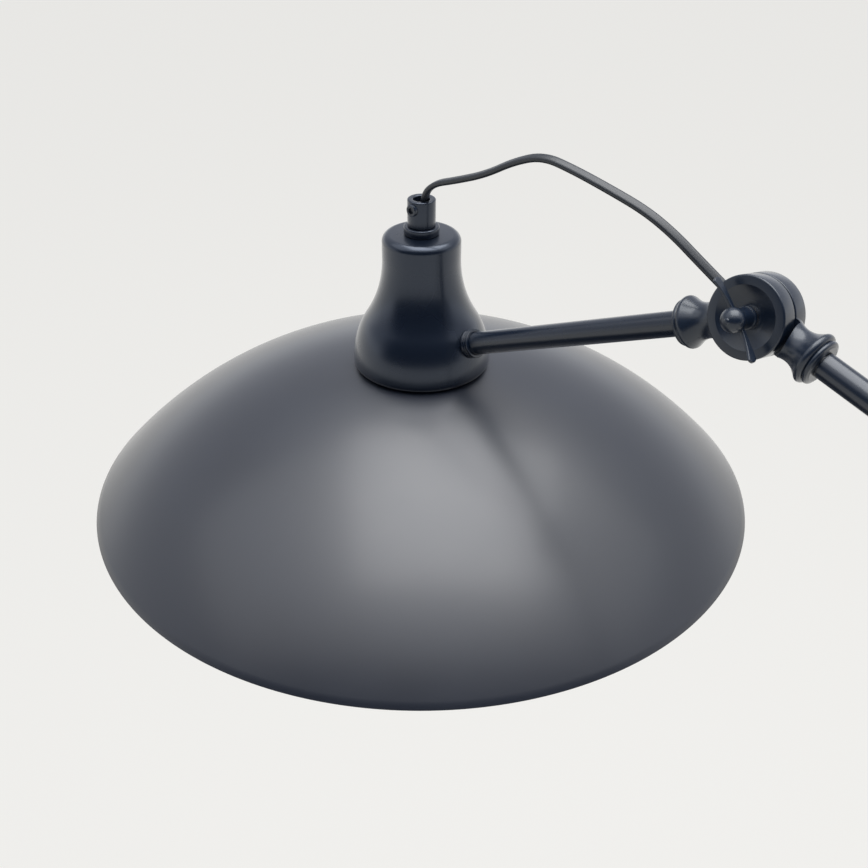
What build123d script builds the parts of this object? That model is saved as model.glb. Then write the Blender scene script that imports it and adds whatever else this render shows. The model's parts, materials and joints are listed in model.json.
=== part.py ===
from build123d import *
import os
from math import cos, pi, radians, sin, sqrt, tan

# Driving dimensions, in millimetres and degrees

# Pose of the lamp at rest
pole_knuckle_height = 1290.0
boom_length = 400.0          # knuckle centre to knuckle centre
boom_rise = 15.0             # boom above the horizontal
head_roll = 13.8             # head knuckle turned about the boom
head_bend = 39.3             # arm below the line of the boom
arm_length = 202.4           # cup axis to knuckle centre
arm_height = 87.3            # arm axis above the rim plane, at the cup axis

# Fits
running_fit = 0.05           # radial, between pieces that turn or slide
turning_gap = 0.3            # between faces of two moving pieces
seat_gap = 0.02              # radial, between fixed pieces

# Shade and socket cup, heights above the rim plane
shade_diameter = 370.0
shade_crown = 250.0          # radius of the spherical crown
shade_wall = 1.2
shade_hole = 40.4
cup_base_radius = 37.0
cup_top_radius = 20.7
cup_foot = 4.0               # straight foot below the swell
cup_swell = 46.0             # radius of the convex lower curve
cup_lean = 31.8              # slope where swell and throat meet
cup_edge = 3.5               # rounding of the foot, which turns in under the cup
cup_mouth_radius = 32.0
cup_crown_edge = 4.2
cup_top = 154.9
cup_wall = 1.6

# Lampholder and bulb, heights above the rim plane
holder_radius = 19.5
holder_bore_radius = 15.5
holder_flange_radius = 23.0
holder_flange = 3.0
holder_bottom = 57.0
holder_slope = 6.0           # cone between the side of the cap and its boss
holder_cap_top = 104.0
holder_boss_radius = 8.0
holder_boss_top = 110.0
block_radius = 16.9
block_height = 8.0
contact_diameter = 9.0
contact_height = 1.2
shell_radius = 14.0
shell_wall = 0.5
shell_bottom = 62.0
ring_radius = 26.0
ring_height = 7.0
ring_chamfer = 1.0
bulb_tip_radius = 5.0
bulb_cap_radius = 13.2
bulb_globe_radius = 25.0
bulb_globe_height = 34.0
bulb_neck_angle = 44.0       # from the bulb axis, where the neck meets the globe

# Cord exit on the cup, heights above the rim plane
nut_diameter = 18.6
nut_height = 4.4
nut_edge = 0.8
grip_diameter = 14.7
grip_top = 173.8
grip_edge = 0.9
grip_bore = 8.6
grip_web = 165.0             # floor on which the cord ends
grip_web_thickness = 2.0
grip_screw_height = 169.5
grip_screw_diameter = 6.4
grip_screw_stand = 1.3       # head proud of the grip
grip_screw_chamfer = 0.5
grip_screw_reach = 0.6       # tip into the bore
grip_shank = 4.0
grip_key_flats = 3.0
grip_key_depth = 1.2
nipple_diameter = 10.0
nipple_bore = 6.5
nipple_bottom = 99.0

# Flat twin cord: width, thickness and its route, as (distance from the cup axis, height above the rim)
cord_width = 4.8
cord_thickness = 3.0
cord_route = [
    (1.2, 165.02),
    (1.2, 175.4),
    (8.0, 183.6),
    (22.0, 188.6),
    (40.0, 195.9),
    (57.0, 206.3),
    (73.0, 213.0),
    (90.0, 209.8),
    (110.0, 205.1),
    (129.0, 200.0),
    (144.0, 192.8),
    (157.0, 184.4),
]
cord_arc_share = 0.45        # part of the shorter run that an arc takes up
cord_hole_angle = -52.0      # about the knuckle axis, from the arm
cord_hole_height = 4.9       # above the split of the knuckle
cord_hole_diameter = 6.2
cord_hole_depth = 6.0
cord_hole_run_out = 4.0

# Tubes
tube_diameter = 12.0
tube_wall = 1.0
upper_pole_diameter = 16.0
lower_pole_diameter = 20.0
pole_wall = 1.2

# Swivel of the shade on the arm, distances along the arm from the cup axis
swivel_diameter = 9.9
swivel_start = 25.5
swivel_end = 56.0
collar_diameter = 15.2
collar_start = 33.0
collar_end = 40.4
collar_edge = 0.6
collar_grooves = (37.4, 38.7)
collar_groove_width = 0.5
collar_groove_depth = 0.5
collar_gap = 0.4             # to the wall of the cup, which is not round about the arm
arm_tube_start = 37.6
swivel_washer_diameter = 16.0
swivel_washer_top = 33.0
lock_nut_flats = 14.0
lock_nut_bottom = 26.8
washer_thickness = 1.2

# Knuckles: heights along the knuckle axis from the split, ferrule points as (radius, distance from the axis)
drum_radius = 18.4
drum_front = 9.6
drum_back = 9.2
drum_edge = 0.8
drum_gap = 2.2               # between a ferrule and the other half
split_front = 0.45
split_back = 0.15
dish_radius = 14.2
dish_shoulder = (10.9, 8.0)
dish_floor_radius = 7.2
dish_floor = 6.7
ferrule_root = 10.0
ferrule_neck = (9.4, 17.5)
ferrule_waist = (8.1, 22.6)
ferrule_flare = (9.9, 28.2)
ferrule_bead = [(11.3, 30.2), (12.0, 31.9), (10.7, 33.6)]
ferrule_lip = [(10.1, 33.8), (10.6, 34.9), (9.4, 36.0)]
ferrule_mouth_radius = 8.6
ferrule_length = 36.4
socket_bottom = 28.0
friction_diameter = 28.0
friction_bore = 10.0
friction_seat = 1.2
knuckle_nut_flats = 10.0
knuckle_nut_seat = 4.2
knuckle_nut_inset = 0.4

# Wing screw, heights along the knuckle axis from the split
screw_diameter = 6.0
screw_end = -8.6
wing_washer_diameter = 10.0
hub_flange_radius = 5.2
hub_flange = 1.2
hub_radius = 4.6
hub_taper = 3.0
hub_neck = 3.9
ball_radius = 5.5
ball_height = 19.3
nub_radius = 1.4
nub_end_radius = 1.0
nub_stand = 0.3
wing_angle = -70.5           # wings about the knuckle axis, from the arm
wing_reach = 19.9
wing_thickness = 2.0
wing_root = (15.6, 17.3)     # lower and upper edge at the hub
wing_belly = (11.0, 15.2)    # points of the outline, as (reach, height)
wing_lower_tip = (18.6, 16.1)
wing_side = 18.6
wing_upper_tip = (18.2, 21.0)
wing_saddle = (10.5, 18.0)

# Swivels of boom and pole, distances from the knuckle centre
spigot_relief = 0.2          # wall left outside the spigot, beyond the tube wall
spigot_root = 75.0
groove_place = 31.9
groove_depth = 1.3
stop_screw_diameter = 3.0
stop_screw_cover = 4.6       # outer end of the stop screw beyond the tube

# Pole and its height collar
upper_pole_bottom = 450.0
lower_pole_top = 770.0
bush_length = 30.0
height_collar_overlap = 18.0 # below and above the top of the lower pole
height_collar_diameter = 30.0
height_collar_edge = 2.5
height_screw_place = 9.0     # above the top of the lower pole
height_screw_diameter = 6.0
height_screw_stand = 2.0
knob_neck_diameter = 11.0
knob_neck = 3.0
knob_diameter = 20.0
knob_length = 12.0
knob_edge = 1.5
knob_flutes = 12
knob_flute_diameter = 4.0
knob_flute_radius = 11.0

# Base
base_diameter = 300.0
base_edge = 14.0
base_rounding = 4.0
base_crown = 30.0
base_flat_radius = 29.0
base_wall = 1.2
pad_diameter = 292.0
pad_thickness = 2.0
stud_diameter = 12.0
stud_clearance = 0.2
stud_end = 2.5
stud_plug_length = 20.0
stud_recess = 44.0
stud_recess_depth = 8.0
cord_channel_width = 12.0
cord_channel_height = 8.0
base_washer_diameter = 36.0
base_washer_thickness = 2.0
base_nut_flats = 18.0
base_nut_bottom = 2.4
base_collar_radius = 27.0
base_collar_brim = 3.0
base_collar_height = 30.0
base_collar_neck = 14.0
base_collar_hollow = (16.4, 8.5)
base_collar_bead = (15.6, 27.0)
base_collar_bead_start = 24.0
bushing_diameter = 6.0
bushing_height = 6.0
bushing_flange_diameter = 9.0
bushing_flange = 2.0
bushing_edge = 1.0
bushing_bore = 4.4

upward = (Align.CENTER, Align.CENTER, Align.MIN)


# Small helpers
def rod(diameter, bottom, top):
    return Pos(0, 0, bottom) * Cylinder(diameter / 2, top - bottom, align=upward)


def sleeve(outer, inner, bottom, top):
    return rod(outer, bottom, top) - rod(inner, bottom, top)


def hexagon(across_flats, bottom, top):
    outline = RegularPolygon(across_flats / 2, 6, major_radius=False)
    return Pos(0, 0, bottom) * extrude(outline, top - bottom)


def at(radius, height):
    return Vector(radius, 0, height)


def turned(*lines):
    return revolve(make_face([edge for line in lines for edge in line.edges()]), Axis.Z)


def into(frame, part):
    return frame.location.inverse() * part


def along_x(part):
    return Rot(0, 90, 0) * part


def rounded_top(part, radius):
    return fillet(part.edges().group_by(Axis.Z)[-1], radius)


def rounded_ends(part, radius):
    levels = part.edges().group_by(Axis.Z)
    return fillet(levels[0] + levels[-1], radius)


# Frames: the pole stands on Z, the boom lies in the XZ plane, the shade hangs level
boom_direction = Vector(cos(radians(boom_rise)), 0, sin(radians(boom_rise)))
boom_upright = Vector(-sin(radians(boom_rise)), 0, cos(radians(boom_rise)))
pole_centre = Vector(0, 0, pole_knuckle_height)
head_centre = pole_centre + boom_direction * boom_length
head_axis = Vector(0, 1, 0) * cos(radians(head_roll)) + boom_upright * sin(radians(head_roll))
arm_direction = boom_direction.rotate(Axis((0, 0, 0), head_axis), head_bend)
cup_crossing = head_centre + arm_direction * arm_length
rim_centre = cup_crossing - Vector(0, 0, arm_height)

pole_front_frame = Plane(pole_centre, x_dir=boom_direction, z_dir=(0, 1, 0))
pole_back_frame = Plane(pole_centre, x_dir=(0, 0, -1), z_dir=(0, 1, 0))
head_front_frame = Plane(head_centre, x_dir=arm_direction, z_dir=head_axis)
head_back_frame = Plane(head_centre, x_dir=-boom_direction, z_dir=head_axis)
arm_frame = Plane(cup_crossing, z_dir=-arm_direction)
boom_frame = Plane(pole_centre, z_dir=boom_direction)
shade_frame = Plane(rim_centre, x_dir=(-arm_direction.X, -arm_direction.Y, 0), z_dir=(0, 0, 1))
height_screw_frame = Plane((0, 0, lower_pole_top + height_screw_place), z_dir=(0, 1, 0))
bushing_frame = Plane((-base_diameter / 2, 0, bushing_height), z_dir=(-1, 0, 0))
grip_screw_frame = Plane((0, 0, grip_screw_height), z_dir=(0, -1, 0))


# Shade: a spun spherical crown with a cut edge
def crown_height(radius, crown):
    return sqrt(crown**2 - radius**2) - sqrt(shade_crown**2 - (shade_diameter / 2) ** 2)


def crown_arc(rim, hole, crown):
    middle = (rim + hole) / 2
    return ThreePointArc(*[at(r, crown_height(r, crown)) for r in (rim, middle, hole)])


def shade():
    rim = shade_diameter / 2
    inner_rim = rim - shade_wall * rim / shade_crown
    outer = crown_arc(rim, shade_hole / 2, shade_crown)
    inner = crown_arc(inner_rim, shade_hole / 2, shade_crown - shade_wall)
    return turned(outer, Line(outer @ 1, inner @ 1), inner, Line(inner @ 0, outer @ 0))


# Socket cup: a bell with a swelling foot, a narrow throat and a flat crown
cup_bottom = crown_height(cup_mouth_radius, shade_crown) + seat_gap


def cup_outline(offset):
    lean = radians(cup_lean)
    half = lean / 2
    base = cup_base_radius - offset
    top = cup_top_radius - offset
    swell = cup_swell - offset
    throat = (base - top) / (1 - cos(lean)) - swell
    foot = at(base, cup_bottom + cup_foot)
    swell_middle = foot + at(-swell * (1 - cos(half)), swell * sin(half))
    meeting = foot + at(-swell * (1 - cos(lean)), swell * sin(lean))
    throat_top = meeting + at(-throat * (1 - cos(lean)), throat * sin(lean))
    throat_middle = throat_top + at(throat * (1 - cos(half)), -throat * sin(half))
    ceiling = cup_top - offset
    edge = cup_crown_edge - offset
    corner = edge * (1 - sqrt(0.5))
    edge_start = at(top, ceiling - edge)
    edge_end = at(top - edge, ceiling)
    return [
        ThreePointArc(foot, swell_middle, meeting),
        ThreePointArc(meeting, throat_middle, throat_top),
        Line(throat_top, edge_start),
        ThreePointArc(edge_start, at(top - corner, ceiling - corner), edge_end),
        Line(edge_end, at(0, ceiling)),
    ]


def cup_envelope(offset):
    wall = cup_outline(offset)
    foot = wall[0] @ 0
    ceiling = wall[-1] @ 1
    bottom = cup_bottom + offset
    body = turned(Polyline(ceiling, at(0, bottom), at(foot.X, bottom), foot), *wall)
    return fillet(body.edges().group_by(Axis.Z)[0], cup_edge - offset)


def socket_cup():
    body = cup_envelope(0) - cup_envelope(cup_wall)
    body -= rod(2 * cup_mouth_radius, cup_bottom, cup_bottom + cup_wall)
    body -= rod(nipple_diameter + 2 * seat_gap, cup_top - cup_wall, cup_top)
    swivel_hole = rod(swivel_diameter + 2 * running_fit, swivel_start, swivel_end)
    return body - into(shade_frame, arm_frame * swivel_hole)


# Lampholder, held in the crown of the shade between its flange and the shade ring
holder_shoulder = crown_height(shade_hole / 2, shade_crown) + seat_gap
flange_top = holder_shoulder + holder_flange


def lampholder_skirt():
    body = rod(2 * holder_radius, holder_bottom, holder_shoulder)
    body += rod(2 * holder_flange_radius, holder_shoulder, flange_top)
    return body - rod(2 * holder_bore_radius, holder_bottom, flange_top)


def lampholder_cap():
    slope_start = holder_cap_top - holder_slope
    side = Polyline(at(0, flange_top), at(holder_radius, flange_top), at(holder_radius, slope_start))
    boss = Polyline(side @ 1, at(holder_boss_radius, holder_cap_top), at(holder_boss_radius, holder_boss_top))
    body = turned(side, boss, Polyline(boss @ 1, at(0, holder_boss_top), side @ 0))
    body -= rod(2 * (block_radius + seat_gap), flange_top, slope_start)
    return body - rod(nipple_diameter + 2 * seat_gap, flange_top, holder_boss_top)


def contact_block():
    block = rod(2 * block_radius, flange_top, flange_top + block_height)
    return block + rod(contact_diameter, flange_top - contact_height, flange_top)


def screw_shell():
    return sleeve(2 * shell_radius, 2 * (shell_radius - shell_wall), shell_bottom, flange_top)


def shade_ring():
    top = crown_height(ring_radius, shade_crown - shade_wall) - seat_gap
    ring = sleeve(2 * ring_radius, 2 * (holder_radius + seat_gap), top - ring_height, top)
    return chamfer(ring.edges().group_by(Axis.Z)[0], ring_chamfer)


def bulb():
    tip = flange_top - contact_height - seat_gap
    cap = Polyline(
        at(0, tip),
        at(bulb_tip_radius, tip),
        at(bulb_cap_radius, tip - bulb_tip_radius),
        at(bulb_cap_radius, shell_bottom),
    )
    turn = radians(bulb_neck_angle)
    centre = at(0, bulb_globe_height)
    neck_end = centre + at(sin(turn), cos(turn)) * bulb_globe_radius
    neck = TangentArc(cap @ 1, neck_end, tangent=(0, 0, -1))
    globe = ThreePointArc(neck_end, centre + at(bulb_globe_radius, 0), centre - at(0, bulb_globe_radius))
    return turned(cap, neck, globe, Line(globe @ 1, cap @ 0))


# Cord exit: nipple, round collar nut, grip and its side screw
def nipple():
    return sleeve(nipple_diameter, nipple_bore, nipple_bottom, grip_web - grip_web_thickness)


def collar_nut():
    body = sleeve(nut_diameter, nipple_diameter + 2 * seat_gap, cup_top, cup_top + nut_height)
    return rounded_top(body, nut_edge)


def cord_grip():
    bottom = cup_top + nut_height
    body = rounded_top(rod(grip_diameter, bottom, grip_top), grip_edge)
    body -= rod(grip_bore, grip_web, grip_top)
    body -= rod(nipple_diameter + 2 * seat_gap, bottom, grip_web - grip_web_thickness)
    return body - grip_screw_frame * rod(grip_shank + 2 * seat_gap, 0, grip_diameter)


def grip_screw():
    face = grip_diameter / 2 + grip_screw_stand
    key_bottom = face - grip_key_depth
    head = rod(grip_screw_diameter, grip_bore / 2, face)
    head = chamfer(head.edges().group_by(Axis.Z)[-1], grip_screw_chamfer)
    head -= hexagon(grip_key_flats, key_bottom, face)
    head = grip_screw_frame * head - rod(grip_diameter + 2 * seat_gap, cup_top, grip_top)
    return head + grip_screw_frame * rod(grip_shank, grip_bore / 2 - grip_screw_reach, key_bottom)


# Swivel of the shade on the arm, with Z along the arm
def arm_collar():
    body = rounded_top(rod(collar_diameter, collar_start, collar_end), collar_edge)
    root = collar_diameter - 2 * collar_groove_depth
    for start in collar_grooves:
        body -= sleeve(2 * collar_diameter, root, start, start + collar_groove_width)
    body -= rod(tube_diameter + 2 * seat_gap, arm_tube_start, collar_end)
    body -= rod(swivel_diameter + 2 * seat_gap, collar_start, arm_tube_start)
    body -= into(arm_frame, shade_frame * cup_envelope(-collar_gap))
    return body.solids().sort_by(Axis.Z)[-1]


def arm_spigot():
    return rod(swivel_diameter, swivel_start, swivel_end)


def swivel_washer():
    bore = swivel_diameter + 2 * seat_gap
    return sleeve(swivel_washer_diameter, bore, swivel_washer_top - washer_thickness, swivel_washer_top)


def arm_lock_nut():
    top = swivel_washer_top - washer_thickness
    body = hexagon(lock_nut_flats, lock_nut_bottom, top)
    return body - rod(swivel_diameter + 2 * seat_gap, lock_nut_bottom, top)


def arm_tube():
    inner = tube_diameter - 2 * tube_wall
    return sleeve(tube_diameter, inner, arm_tube_start, arm_length - socket_bottom)


# Knuckle castings: half a drum with a turned ferrule, the knuckle axis on Z and the ferrule on X
def ferrule(tube):
    grow = (tube - tube_diameter) / 2
    neck = at(*ferrule_neck)
    waist = at(*ferrule_waist) + at(grow, 0)
    flare = at(*ferrule_flare) + at(grow, 0)
    bead = [at(*point) + at(grow, 0) for point in ferrule_bead]
    lip = [at(*point) + at(grow, 0) for point in ferrule_lip]
    mouth = at(ferrule_mouth_radius + grow, ferrule_length)
    return along_x(
        turned(
            Polyline(at(0, ferrule_root), at(neck.X, ferrule_root), neck),
            ThreePointArc(neck, waist, flare),
            Line(flare, bead[0]),
            ThreePointArc(*bead),
            Line(bead[-1], lip[0]),
            ThreePointArc(*lip),
            Polyline(lip[-1], mouth, at(0, ferrule_length), at(0, ferrule_root)),
        )
    )


def dish():
    rim = at(dish_radius, drum_front)
    floor = at(dish_floor_radius, dish_floor)
    bowl = ThreePointArc(rim, at(*dish_shoulder), floor)
    return turned(bowl, Polyline(floor, at(0, dish_floor), at(0, drum_front), rim))


def front_half(tube, socket):
    body = rounded_top(rod(2 * drum_radius, split_front, drum_front), drum_edge) + ferrule(tube)
    body -= rod(2 * (drum_radius + drum_gap), -2 * drum_radius, split_front)
    body -= dish()
    body -= rod(screw_diameter + 4 * running_fit, split_front, drum_front)
    return body - along_x(rod(socket, socket_bottom, ferrule_length))


def back_half(tube, socket):
    drum = rod(2 * drum_radius, -drum_back, -split_back)
    body = fillet(drum.edges().group_by(Axis.Z)[0], drum_edge) + ferrule(tube)
    body -= rod(2 * (drum_radius + drum_gap), -split_back, 2 * drum_radius)
    body -= rod(friction_diameter + 2 * seat_gap, -split_back - friction_seat, -split_back)
    body -= rod(screw_diameter + 2 * running_fit, -drum_back, -split_back)
    body -= hexagon(knuckle_nut_flats + 2 * seat_gap, -drum_back, -drum_back + knuckle_nut_seat)
    return body - along_x(rod(socket, socket_bottom, ferrule_length))


def friction_washer():
    return sleeve(friction_diameter, friction_bore, -split_back - friction_seat, split_front - turning_gap)


def wing_washer():
    bore = screw_diameter + 4 * running_fit
    return sleeve(wing_washer_diameter, bore, dish_floor, dish_floor + washer_thickness)


def knuckle_nut():
    bottom = -drum_back + knuckle_nut_inset
    top = -drum_back + knuckle_nut_seat
    return hexagon(knuckle_nut_flats, bottom, top) - rod(screw_diameter + 2 * running_fit, bottom, top)


# Wing screw: a stepped hub with a ball nose, two flat wings and a shank through both halves
def wing_screw():
    seat = dish_floor + washer_thickness + turning_gap
    shank = screw_diameter / 2
    flange = seat + hub_flange
    taper = flange + hub_taper
    ball_start = ball_height - sqrt(ball_radius**2 - hub_neck**2)
    ball_end = ball_height + sqrt(ball_radius**2 - nub_radius**2)
    end = ball_height + ball_radius + nub_stand
    ball = ThreePointArc(at(hub_neck, ball_start), at(ball_radius, ball_height), at(nub_radius, ball_end))
    hub = turned(
        Polyline(
            at(0, screw_end),
            at(shank, screw_end),
            at(shank, seat),
            at(hub_flange_radius, seat),
            at(hub_flange_radius, flange),
            at(hub_radius, flange),
            at(hub_neck, taper),
            ball @ 0,
        ),
        ball,
        Polyline(ball @ 1, at(nub_end_radius, end), at(0, end), at(0, screw_end)),
    )
    return hub + wing() + Rot(0, 0, 180) * wing()


def wing():
    root_low, root_high = wing_root
    belly = ThreePointArc((0, root_low), wing_belly, wing_lower_tip)
    tip = ThreePointArc(wing_lower_tip, (wing_reach, wing_side), wing_upper_tip)
    saddle = ThreePointArc(wing_upper_tip, wing_saddle, (0, root_high))
    blade = make_face([belly, tip, saddle, Line((0, root_high), (0, root_low))])
    return Pos(0, wing_thickness / 2, 0) * Rot(90, 0, 0) * extrude(blade, wing_thickness)


# Swivels: a grooved spigot fixed in the tube, and a stop screw in the ferrule that turns on it
def spigot_diameter(tube):
    return tube - 2 * (tube_wall + spigot_relief)


def swivel_spigot(tube, wall, distance):
    spigot = spigot_diameter(tube)
    face = distance - ferrule_length - turning_gap
    body = rod(tube - 2 * (wall + seat_gap), distance - spigot_root, face)
    body += rod(spigot, face, distance - socket_bottom - turning_gap)
    half = stop_screw_diameter / 2 + turning_gap
    middle = distance - groove_place
    return body - sleeve(2 * spigot, spigot - 2 * groove_depth, middle - half, middle + half)


def stop_screw(tube):
    inner = spigot_diameter(tube) / 2 - groove_depth + turning_gap
    body = rod(stop_screw_diameter, inner, tube / 2 + stop_screw_cover)
    return Pos(groove_place, 0, 0) * Rot(0, 180, 0) * body


def swivel_half(tube):
    hole = rod(stop_screw_diameter + 2 * seat_gap, 0, 2 * tube)
    body = back_half(tube, spigot_diameter(tube) + 2 * running_fit)
    return body - Pos(groove_place, 0, 0) * Rot(0, 180, 0) * hole


def boom_tube():
    inner = tube_diameter - 2 * tube_wall
    return sleeve(tube_diameter, inner, socket_bottom, boom_length - ferrule_length - turning_gap)


# Cord: straight runs joined by arcs as large as the runs allow
def cord_points():
    turn = radians(cord_hole_angle)
    mouth = Vector(drum_radius * cos(turn), drum_radius * sin(turn), cord_hole_height)
    hole = head_front_frame.from_local_coords(mouth)
    outward = Vector(hole.X - rim_centre.X, hole.Y - rim_centre.Y, 0).normalized()
    points = [rim_centre + outward * distance + Vector(0, 0, height) for distance, height in cord_route]
    inward = (hole - points[-1]).normalized()
    return points + [hole + inward * (cord_hole_depth - seat_gap)]


def cord_radii(points):
    radii = []
    for before, corner, after in zip(points, points[1:], points[2:]):
        turn = radians((corner - before).get_angle(after - corner))
        shorter = min((corner - before).length, (after - corner).length)
        radii.append(cord_arc_share * shorter / tan(turn / 2))
    return radii


def cord():
    points = cord_points()
    radii = cord_radii(points)
    path = FilletPolyline(*points, radius=radii)
    across = (points[1] - points[0]).cross(points[2] - points[0])
    start = Plane(points[0], x_dir=across, z_dir=path % 0)
    body = sweep(start * SlotOverall(cord_width, cord_thickness), path=path)
    area = cord_thickness * (cord_width - cord_thickness) + pi * cord_thickness**2 / 4
    print("cord length", round(path.length, 1), "radii", [round(r, 1) for r in radii])
    print("cord volume", round(body.volume), "section times length", round(area * path.length))
    return body


def cord_hole():
    points = cord_points()
    outward = (points[-2] - points[-1]).normalized()
    floor = Plane(points[-1] - outward * seat_gap, z_dir=outward)
    return into(head_front_frame, floor * rod(cord_hole_diameter, 0, cord_hole_depth + cord_hole_run_out))


# Pole: a tube that slides in a wider one and is held by a collar with a screw
def upper_pole():
    inner = upper_pole_diameter - 2 * pole_wall
    top = pole_knuckle_height - ferrule_length - turning_gap
    return sleeve(upper_pole_diameter, inner, upper_pole_bottom, top)


def guide_bush():
    outer = lower_pole_diameter - 2 * (pole_wall + running_fit)
    return sleeve(outer, upper_pole_diameter + 2 * seat_gap, upper_pole_bottom, upper_pole_bottom + bush_length)


def height_collar():
    bottom = lower_pole_top - height_collar_overlap
    top = lower_pole_top + height_collar_overlap
    body = rounded_ends(rod(height_collar_diameter, bottom, top), height_collar_edge)
    body -= rod(lower_pole_diameter + 2 * seat_gap, bottom, lower_pole_top)
    body -= rod(upper_pole_diameter + 4 * running_fit, lower_pole_top, top)
    return body - height_screw_frame * rod(height_screw_diameter + 2 * running_fit, 0, height_collar_diameter)


def height_screw():
    tip = upper_pole_diameter / 2 + turning_gap
    neck = height_collar_diameter / 2 + height_screw_stand
    start = neck + knob_neck
    end = start + knob_length
    knob = rounded_ends(rod(knob_diameter, start, end), knob_edge)
    flute = Pos(knob_flute_radius, 0, 0) * rod(knob_flute_diameter, start, end)
    knob -= [Rot(0, 0, 360 * i / knob_flutes) * flute for i in range(knob_flutes)]
    return rod(height_screw_diameter, tip, neck) + rod(knob_neck_diameter, neck, start) + knob


def lower_pole():
    inner = lower_pole_diameter - 2 * pole_wall
    return sleeve(lower_pole_diameter, inner, base_crown + base_collar_brim, lower_pole_top)


# Base: a spun cover over a cast weight, drawn together by a stud and nut
stud_hole = stud_diameter + 2 * stud_clearance


def base_form(offset):
    edge = base_diameter / 2 - offset
    corner = at(edge, base_edge - offset)
    shoulder = at(base_flat_radius, base_crown - offset)
    down = corner - at(0, base_rounding - offset)
    inward = corner + (shoulder - corner).normalized() * (base_rounding - offset)
    foot = at(edge, pad_thickness)
    return turned(
        Line(foot, down),
        TangentArc(down, inward, tangent=(0, 0, 1)),
        Polyline(inward, shoulder, at(0, base_crown - offset), at(0, pad_thickness), foot),
    )


def base_cover():
    shell = base_form(0) - base_form(base_wall) - rod(stud_hole, pad_thickness, base_crown)
    return shell - bushing_frame * rod(bushing_diameter + 2 * seat_gap, -2 * base_wall, base_wall)


def base_weight():
    weight = base_form(base_wall + seat_gap) - rod(stud_hole, pad_thickness, base_crown)
    weight -= rod(stud_recess, pad_thickness, pad_thickness + stud_recess_depth)
    channel = Box(base_diameter / 2, cord_channel_width, cord_channel_height, align=upward)
    return weight - Pos(-base_diameter / 4, 0, pad_thickness) * channel


def base_pad():
    return rod(pad_diameter, 0, pad_thickness)


def base_collar():
    top = base_crown + base_collar_height
    ledge = base_crown + base_collar_brim
    brim = at(base_collar_radius, ledge)
    neck = at(base_collar_neck, base_crown + base_collar_bead_start)
    crown = at(base_collar_neck, top)
    lift = at(0, base_crown)
    body = turned(
        Polyline(lift, at(base_collar_radius, base_crown), brim),
        ThreePointArc(brim, at(*base_collar_hollow) + lift, neck),
        ThreePointArc(neck, at(*base_collar_bead) + lift, crown),
        Polyline(crown, at(0, top), lift),
    )
    return body - rod(lower_pole_diameter + 2 * seat_gap, ledge, top) - rod(stud_hole, base_crown, ledge)


def pole_stud():
    ledge = base_crown + base_collar_brim
    plug = lower_pole_diameter - 2 * (pole_wall + seat_gap)
    return rod(stud_diameter, stud_end, ledge) + rod(plug, ledge, ledge + stud_plug_length)


def base_washer():
    top = pad_thickness + stud_recess_depth
    return sleeve(base_washer_diameter, stud_hole, top - base_washer_thickness, top)


def base_nut():
    top = pad_thickness + stud_recess_depth - base_washer_thickness
    bore = rod(stud_diameter + 2 * seat_gap, base_nut_bottom, top)
    return hexagon(base_nut_flats, base_nut_bottom, top) - bore


def cord_bushing():
    barrel = rod(bushing_diameter, -base_wall, 0)
    flange = rounded_top(rod(bushing_flange_diameter, 0, bushing_flange), bushing_edge)
    return barrel + flange - rod(bushing_bore, -base_wall, bushing_flange)


# Assembly: each group is drawn in its own frame
def shade_pieces():
    return {
        "shade": shade(),
        "socket_cup": socket_cup(),
        "lampholder_skirt": lampholder_skirt(),
        "lampholder_cap": lampholder_cap(),
        "contact_block": contact_block(),
        "screw_shell": screw_shell(),
        "shade_ring": shade_ring(),
        "bulb": bulb(),
        "nipple": nipple(),
        "collar_nut": collar_nut(),
        "cord_grip": cord_grip(),
        "grip_screw": grip_screw(),
    }


def arm_pieces():
    return {
        "arm_collar": arm_collar(),
        "arm_spigot": arm_spigot(),
        "swivel_washer": swivel_washer(),
        "arm_lock_nut": arm_lock_nut(),
        "arm_tube": arm_tube(),
    }


def front_pieces(casting):
    return {
        "front_half": casting,
        "wing_washer": wing_washer(),
        "wing_screw": Rot(0, 0, wing_angle) * wing_screw(),
    }


def back_pieces(tube):
    return {
        "back_half": swivel_half(tube),
        "friction_washer": friction_washer(),
        "knuckle_nut": knuckle_nut(),
        "stop_screw": stop_screw(tube),
    }


def boom_pieces():
    return {
        "boom_tube": boom_tube(),
        "boom_spigot": swivel_spigot(tube_diameter, tube_wall, boom_length),
    }


def standing_pieces():
    return {
        "cord": cord(),
        "upper_pole": upper_pole(),
        "pole_spigot": swivel_spigot(upper_pole_diameter, pole_wall, pole_knuckle_height),
        "guide_bush": guide_bush(),
        "height_collar": height_collar(),
        "height_screw": height_screw_frame * height_screw(),
        "lower_pole": lower_pole(),
        "pole_stud": pole_stud(),
        "base_collar": base_collar(),
        "base_cover": base_cover(),
        "base_weight": base_weight(),
        "base_pad": base_pad(),
        "base_washer": base_washer(),
        "base_nut": base_nut(),
        "cord_bushing": bushing_frame * cord_bushing(),
    }


def placed(frame, pieces, prefix=""):
    return {prefix + name: frame * piece for name, piece in pieces.items()}


def main():
    casting = front_half(tube_diameter, tube_diameter + 2 * seat_gap)
    nodes = standing_pieces()
    nodes |= placed(shade_frame, shade_pieces())
    nodes |= placed(arm_frame, arm_pieces())
    nodes |= placed(boom_frame, boom_pieces())
    nodes |= placed(head_front_frame, front_pieces(casting - cord_hole()), "head_")
    nodes |= placed(head_back_frame, back_pieces(tube_diameter), "head_")
    nodes |= placed(pole_front_frame, front_pieces(casting), "pole_")
    nodes |= placed(pole_back_frame, back_pieces(upper_pole_diameter), "pole_")

    os.makedirs("parts", exist_ok=True)
    for name, piece in nodes.items():
        export_step(piece, f"parts/{name}.step")


main()
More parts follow.
